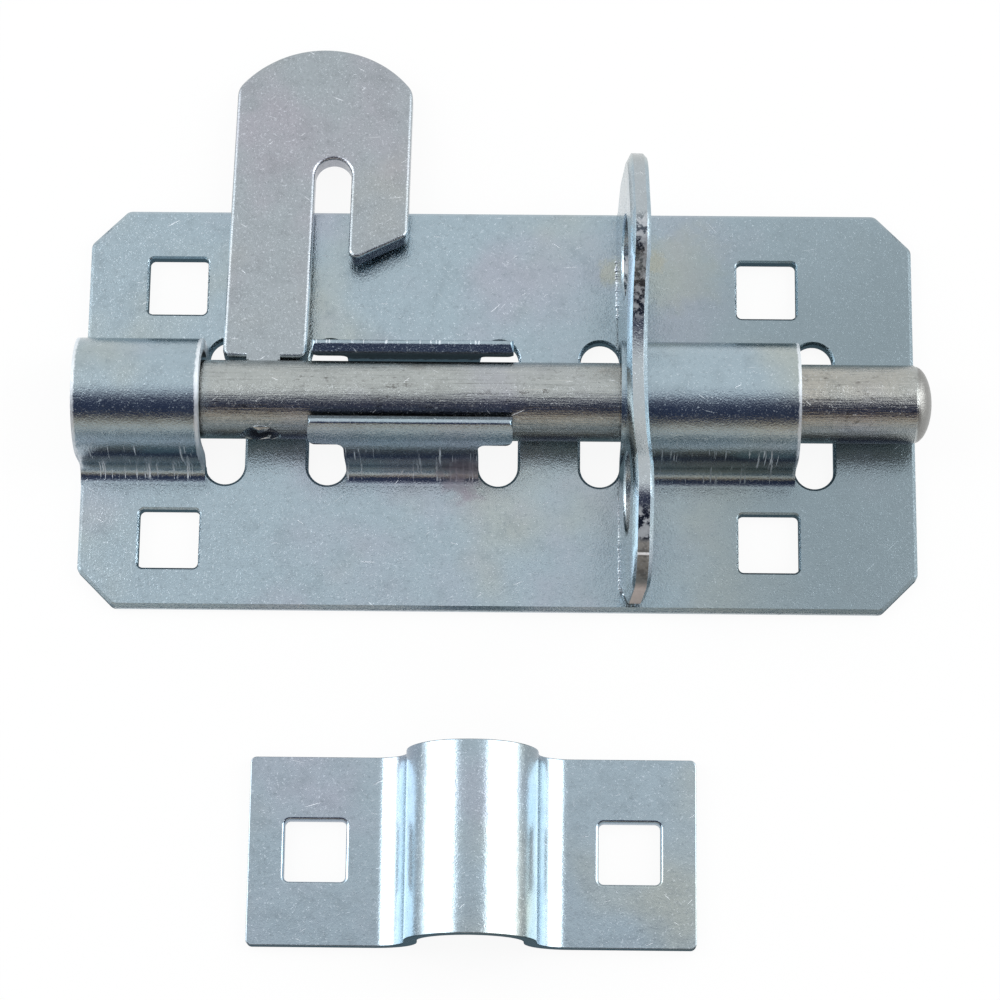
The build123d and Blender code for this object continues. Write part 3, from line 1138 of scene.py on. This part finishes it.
@dataclass
class Studio:
    """Pale floor, white surround, cards for the metal to reflect, soft lamps and camera."""

    camera_place: Place = (0.0113, -0.144587, 0.486729)
    camera_turn: Place = (-0.2635, -0.0130, -0.0085)
    focal_px: float = 3281.54
    frame_px: float = 1000.0
    sensor_mm: float = 36.0
    clip_start: float = 0.01
    floor_half: float = 3.0
    floor_gap: float = 0.0001
    floor_paint: float = 0.9
    shadow_share: float = 0.09
    fill_tint: Colour = (0.98, 0.99, 1.0)
    fill_strength: float = 0.8
    sweep_far: float = 1.5
    sweep_half: float = 2.2
    sweep_rings: int = 32
    sweep_tones: tuple[tuple[float, Colour], ...] = (
        (-6.0, (1.0, 1.0, 1.0)),
        (1.0, (0.66, 0.67, 0.72)),
        (7.0, (0.40, 0.40, 0.45)),
        (13.0, (0.19, 0.18, 0.24)),
        (18.0, (0.05, 0.06, 0.11)),
        (49.5, (0.045, 0.055, 0.10)),
        (52.0, (0.20, 0.15, 0.13)),
        (55.0, (0.43, 0.33, 0.24)),
        (60.5, (0.45, 0.35, 0.26)),
        (65.0, (0.74, 0.66, 0.57)),
        (72.0, (0.86, 0.80, 0.73)),
        (78.0, (0.80, 0.78, 0.75)),
        (82.0, (0.36, 0.39, 0.41)),
        (86.0, (0.11, 0.15, 0.18)),
        (98.0, (0.10, 0.14, 0.17)),
    )
    dark_tone: Colour = (0.10, 0.145, 0.17)
    light_tone: Colour = (0.70, 0.73, 0.78)
    front_half: float = 0.075
    front_edges: tuple[float, ...] = (-0.0312, -0.040, -0.076, -1.4)
    side_far: float = 1.7
    side_ends: Span = (-0.35, 1.2)
    side_rings: int = 10
    side_start: float = 27.0
    side_end: float = 90.0
    side_tone: Colour = (0.97, 0.985, 1.0)
    side_glow: float = 2.3
    lamp_power: float = 4.5
    lamp_width: float = 0.55
    lamp_length: float = 1.1
    lamp_place: Place = (0.9, 0.15, 0.62)

    def build(self) -> None:
        """Make the floor, the surround, the cards, the lamps and the camera."""
        self.floor()
        self.surround()
        self.sweep()
        tones = (self.dark_tone, self.light_tone, self.dark_tone)
        rows = zip(self.front_edges, self.front_edges[1:], tones)
        for number, (near, far, tone) in enumerate(rows):
            self.floor_card(
                f"front_card_{number}", (-self.front_half, far), (self.front_half, near), tone
            )
        # Painted shade: a dark card over the sheet's footprint shows in reflections where the
        # floor under the sheet lies in shade.
        low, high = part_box("base_plate")
        self.floor_card("shade_under_card", (low[0], low[1]), (high[0], high[1]), self.dark_tone)
        self.side_card("left_card", -1)
        self.side_card("right_card", 1)
        self.lamps()
        self.camera()

    def floor(self) -> None:
        """Lay a plain pale floor that is white to the camera but keeps the shadow."""
        lowest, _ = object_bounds()
        half = self.floor_half
        level = lowest[2] - self.floor_gap
        corners = [(x * half, y * half, level) for x, y in ((-1, -1), (1, -1), (1, 1), (-1, 1))]
        mesh = bpy.data.meshes.new("floor")
        mesh.from_pydata(corners, [], [(0, 1, 2, 3)])
        material, graph = new_material("pale_floor")
        grey = self.floor_paint
        paint = graph.add("ShaderNodeBsdfDiffuse", {"Color": (grey, grey, grey, 1)})
        glow = graph.add("ShaderNodeEmission", {"Color": (1, 1, 1, 1), "Strength": 1.0})
        seen = graph.times(graph.direct_rays(), 1 - self.shadow_share)
        blend = graph.add(
            "ShaderNodeMixShader", {0: seen, 1: paint.outputs[0], 2: glow.outputs[0]}
        )
        graph.add("ShaderNodeOutputMaterial", {"Surface": blend.outputs[0]})
        mesh.materials.append(material)
        floor = new_object("floor", mesh)
        floor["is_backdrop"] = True

    def surround(self) -> None:
        """Surround the object with an even white that metal shows too."""
        world = bpy.data.worlds.new("surround")
        world.use_nodes = True
        graph = Graph(world.node_tree)
        fill = graph.add(
            "ShaderNodeBackground",
            {"Color": (*self.fill_tint, 1), "Strength": self.fill_strength},
        )
        white = graph.add("ShaderNodeBackground", {"Color": (1, 1, 1, 1), "Strength": 1.0})
        blend = graph.add(
            "ShaderNodeMixShader",
            {0: graph.direct_rays(), 1: fill.outputs[0], 2: white.outputs[0]},
        )
        graph.add("ShaderNodeOutputWorld", {"Surface": blend.outputs[0]})
        bpy.context.scene.world = world

    def sweep(self) -> None:
        """Hang the graded dark sweep that the bolt and the loops reflect."""
        start, end = self.sweep_tones[0][0], self.sweep_tones[-1][0]
        places = []
        for step in range(self.sweep_rings + 1):
            angle = math.radians(start + (end - start) * step / self.sweep_rings)
            y_value = -self.sweep_far * math.sin(angle)
            z_value = self.sweep_far * math.cos(angle)
            for side in (-1, 1):
                places.append((side * self.sweep_half, y_value, z_value))
        material, graph = new_material("sweep")
        axes = graph.axes(graph.add("ShaderNodeTexCoord").outputs["Object"])
        angle = graph.math("ARCTAN2", graph.times(axes["Y"], -1.0), axes["Z"])
        share = graph.add(
            "ShaderNodeMapRange",
            {"Value": angle, "From Min": math.radians(start), "From Max": math.radians(end)},
        ).outputs["Result"]
        tones = graph.add("ShaderNodeValToRGB", {"Fac": share})
        steps = tones.color_ramp.elements
        steps[0].color = (*self.sweep_tones[0][1], 1)
        steps[-1].color = (*self.sweep_tones[-1][1], 1)
        for tone_angle, colour in self.sweep_tones[1:-1]:
            steps.new((tone_angle - start) / (end - start)).color = (*colour, 1)
        self.hang(places, material, graph, tones.outputs["Color"], 1.0)

    def floor_card(self, name: str, low: Span, high: Span, tone: Colour) -> None:
        """Lay a card on the floor that only reflections see.

        Args:
            name: Name of the card.
            low: Its lowest X and Y.
            high: Its highest X and Y.
            tone: Colour that it glows with.
        """
        lowest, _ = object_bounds()
        level = lowest[2] - self.floor_gap / 2
        places = [(x, y, level) for y in (high[1], low[1]) for x in (low[0], high[0])]
        material, graph = new_material(name)
        self.hang(places, material, graph, (*tone, 1), 1.0)

    def side_card(self, name: str, side: int) -> None:
        """Hang a bright card at one end of the bolt that only reflections see.

        Args:
            name: Name of the card.
            side: -1 for the tail's end, +1 for the nose's end.
        """
        rings = self.side_rings
        places = []
        for step in range(rings + 1):
            share = step / rings if side < 0 else 1 - step / rings
            angle = math.radians(self.side_start + (self.side_end - self.side_start) * share)
            x_value = side * self.side_far * math.sin(angle)
            z_value = self.side_far * math.cos(angle)
            for end in self.side_ends:
                places.append((x_value, end, z_value))
        material, graph = new_material(name)
        self.hang(places, material, graph, (*self.side_tone, 1), self.side_glow)

    def hang(
        self,
        places: list[Place],
        material: bpy.types.Material,
        graph: Graph,
        colour: Socket | tuple[float, ...],
        glow: float,
    ) -> None:
        """Make a card of its material's name, seen only in reflections.

        Args:
            places: Its corners, two to a row.
            material: Its material.
            graph: The material's graph.
            colour: Colour or socket that it glows with.
            glow: Strength of the glow.
        """
        strips = range(len(places) // 2 - 1)
        faces = [(2 * i, 2 * i + 1, 2 * i + 3, 2 * i + 2) for i in strips]
        mesh = bpy.data.meshes.new(material.name)
        mesh.from_pydata(places, [], faces)
        light = graph.add("ShaderNodeEmission", {"Color": colour, "Strength": glow})
        graph.add("ShaderNodeOutputMaterial", {"Surface": light.outputs[0]})
        mesh.materials.append(material)
        card = new_object(material.name, mesh)
        card.visible_camera = False
        card.visible_diffuse = False
        card.visible_shadow = False
        card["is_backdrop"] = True

    def lamps(self) -> None:
        """Stand a soft lamp at each end of the bolt."""
        x_value, y_value, z_value = self.lamp_place
        for name, side in (("left_lamp", -1), ("right_lamp", 1)):
            light = bpy.data.lights.new(name, "AREA")
            light.shape = "RECTANGLE"
            light.size = self.lamp_width
            light.size_y = self.lamp_length
            light.energy = self.lamp_power
            lamp = new_object(name, light)
            lamp.location = (side * x_value, y_value, z_value)
            aim = -Vector(lamp.location)
            lamp.rotation_euler = aim.to_track_quat("-Z", "Y").to_euler()

    def camera(self) -> None:
        """Stand the camera where the photograph was taken from."""
        world_to_view = Matrix.Identity(3)
        for angle, axis in zip(reversed(self.camera_turn), "ZYX"):
            world_to_view = world_to_view @ Matrix.Rotation(angle, 3, axis)
        data = bpy.data.cameras.new("camera")
        data.sensor_width = self.sensor_mm
        data.lens = self.focal_px * self.sensor_mm / self.frame_px
        data.clip_start = self.clip_start
        camera = new_object("camera", data)
        view_to_world = world_to_view.transposed().to_4x4()
        camera.matrix_world = Matrix.Translation(self.camera_place) @ view_to_world
        bpy.context.scene.camera = camera


def main() -> None:
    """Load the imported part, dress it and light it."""
    logging.basicConfig(level=logging.INFO, format="%(message)s")
    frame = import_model()
    Padbolt(frame["nodes"]).build()
    Studio().build()
    bpy.context.scene.view_settings.view_transform = "Standard"


if __name__ == "__main__":
    main()
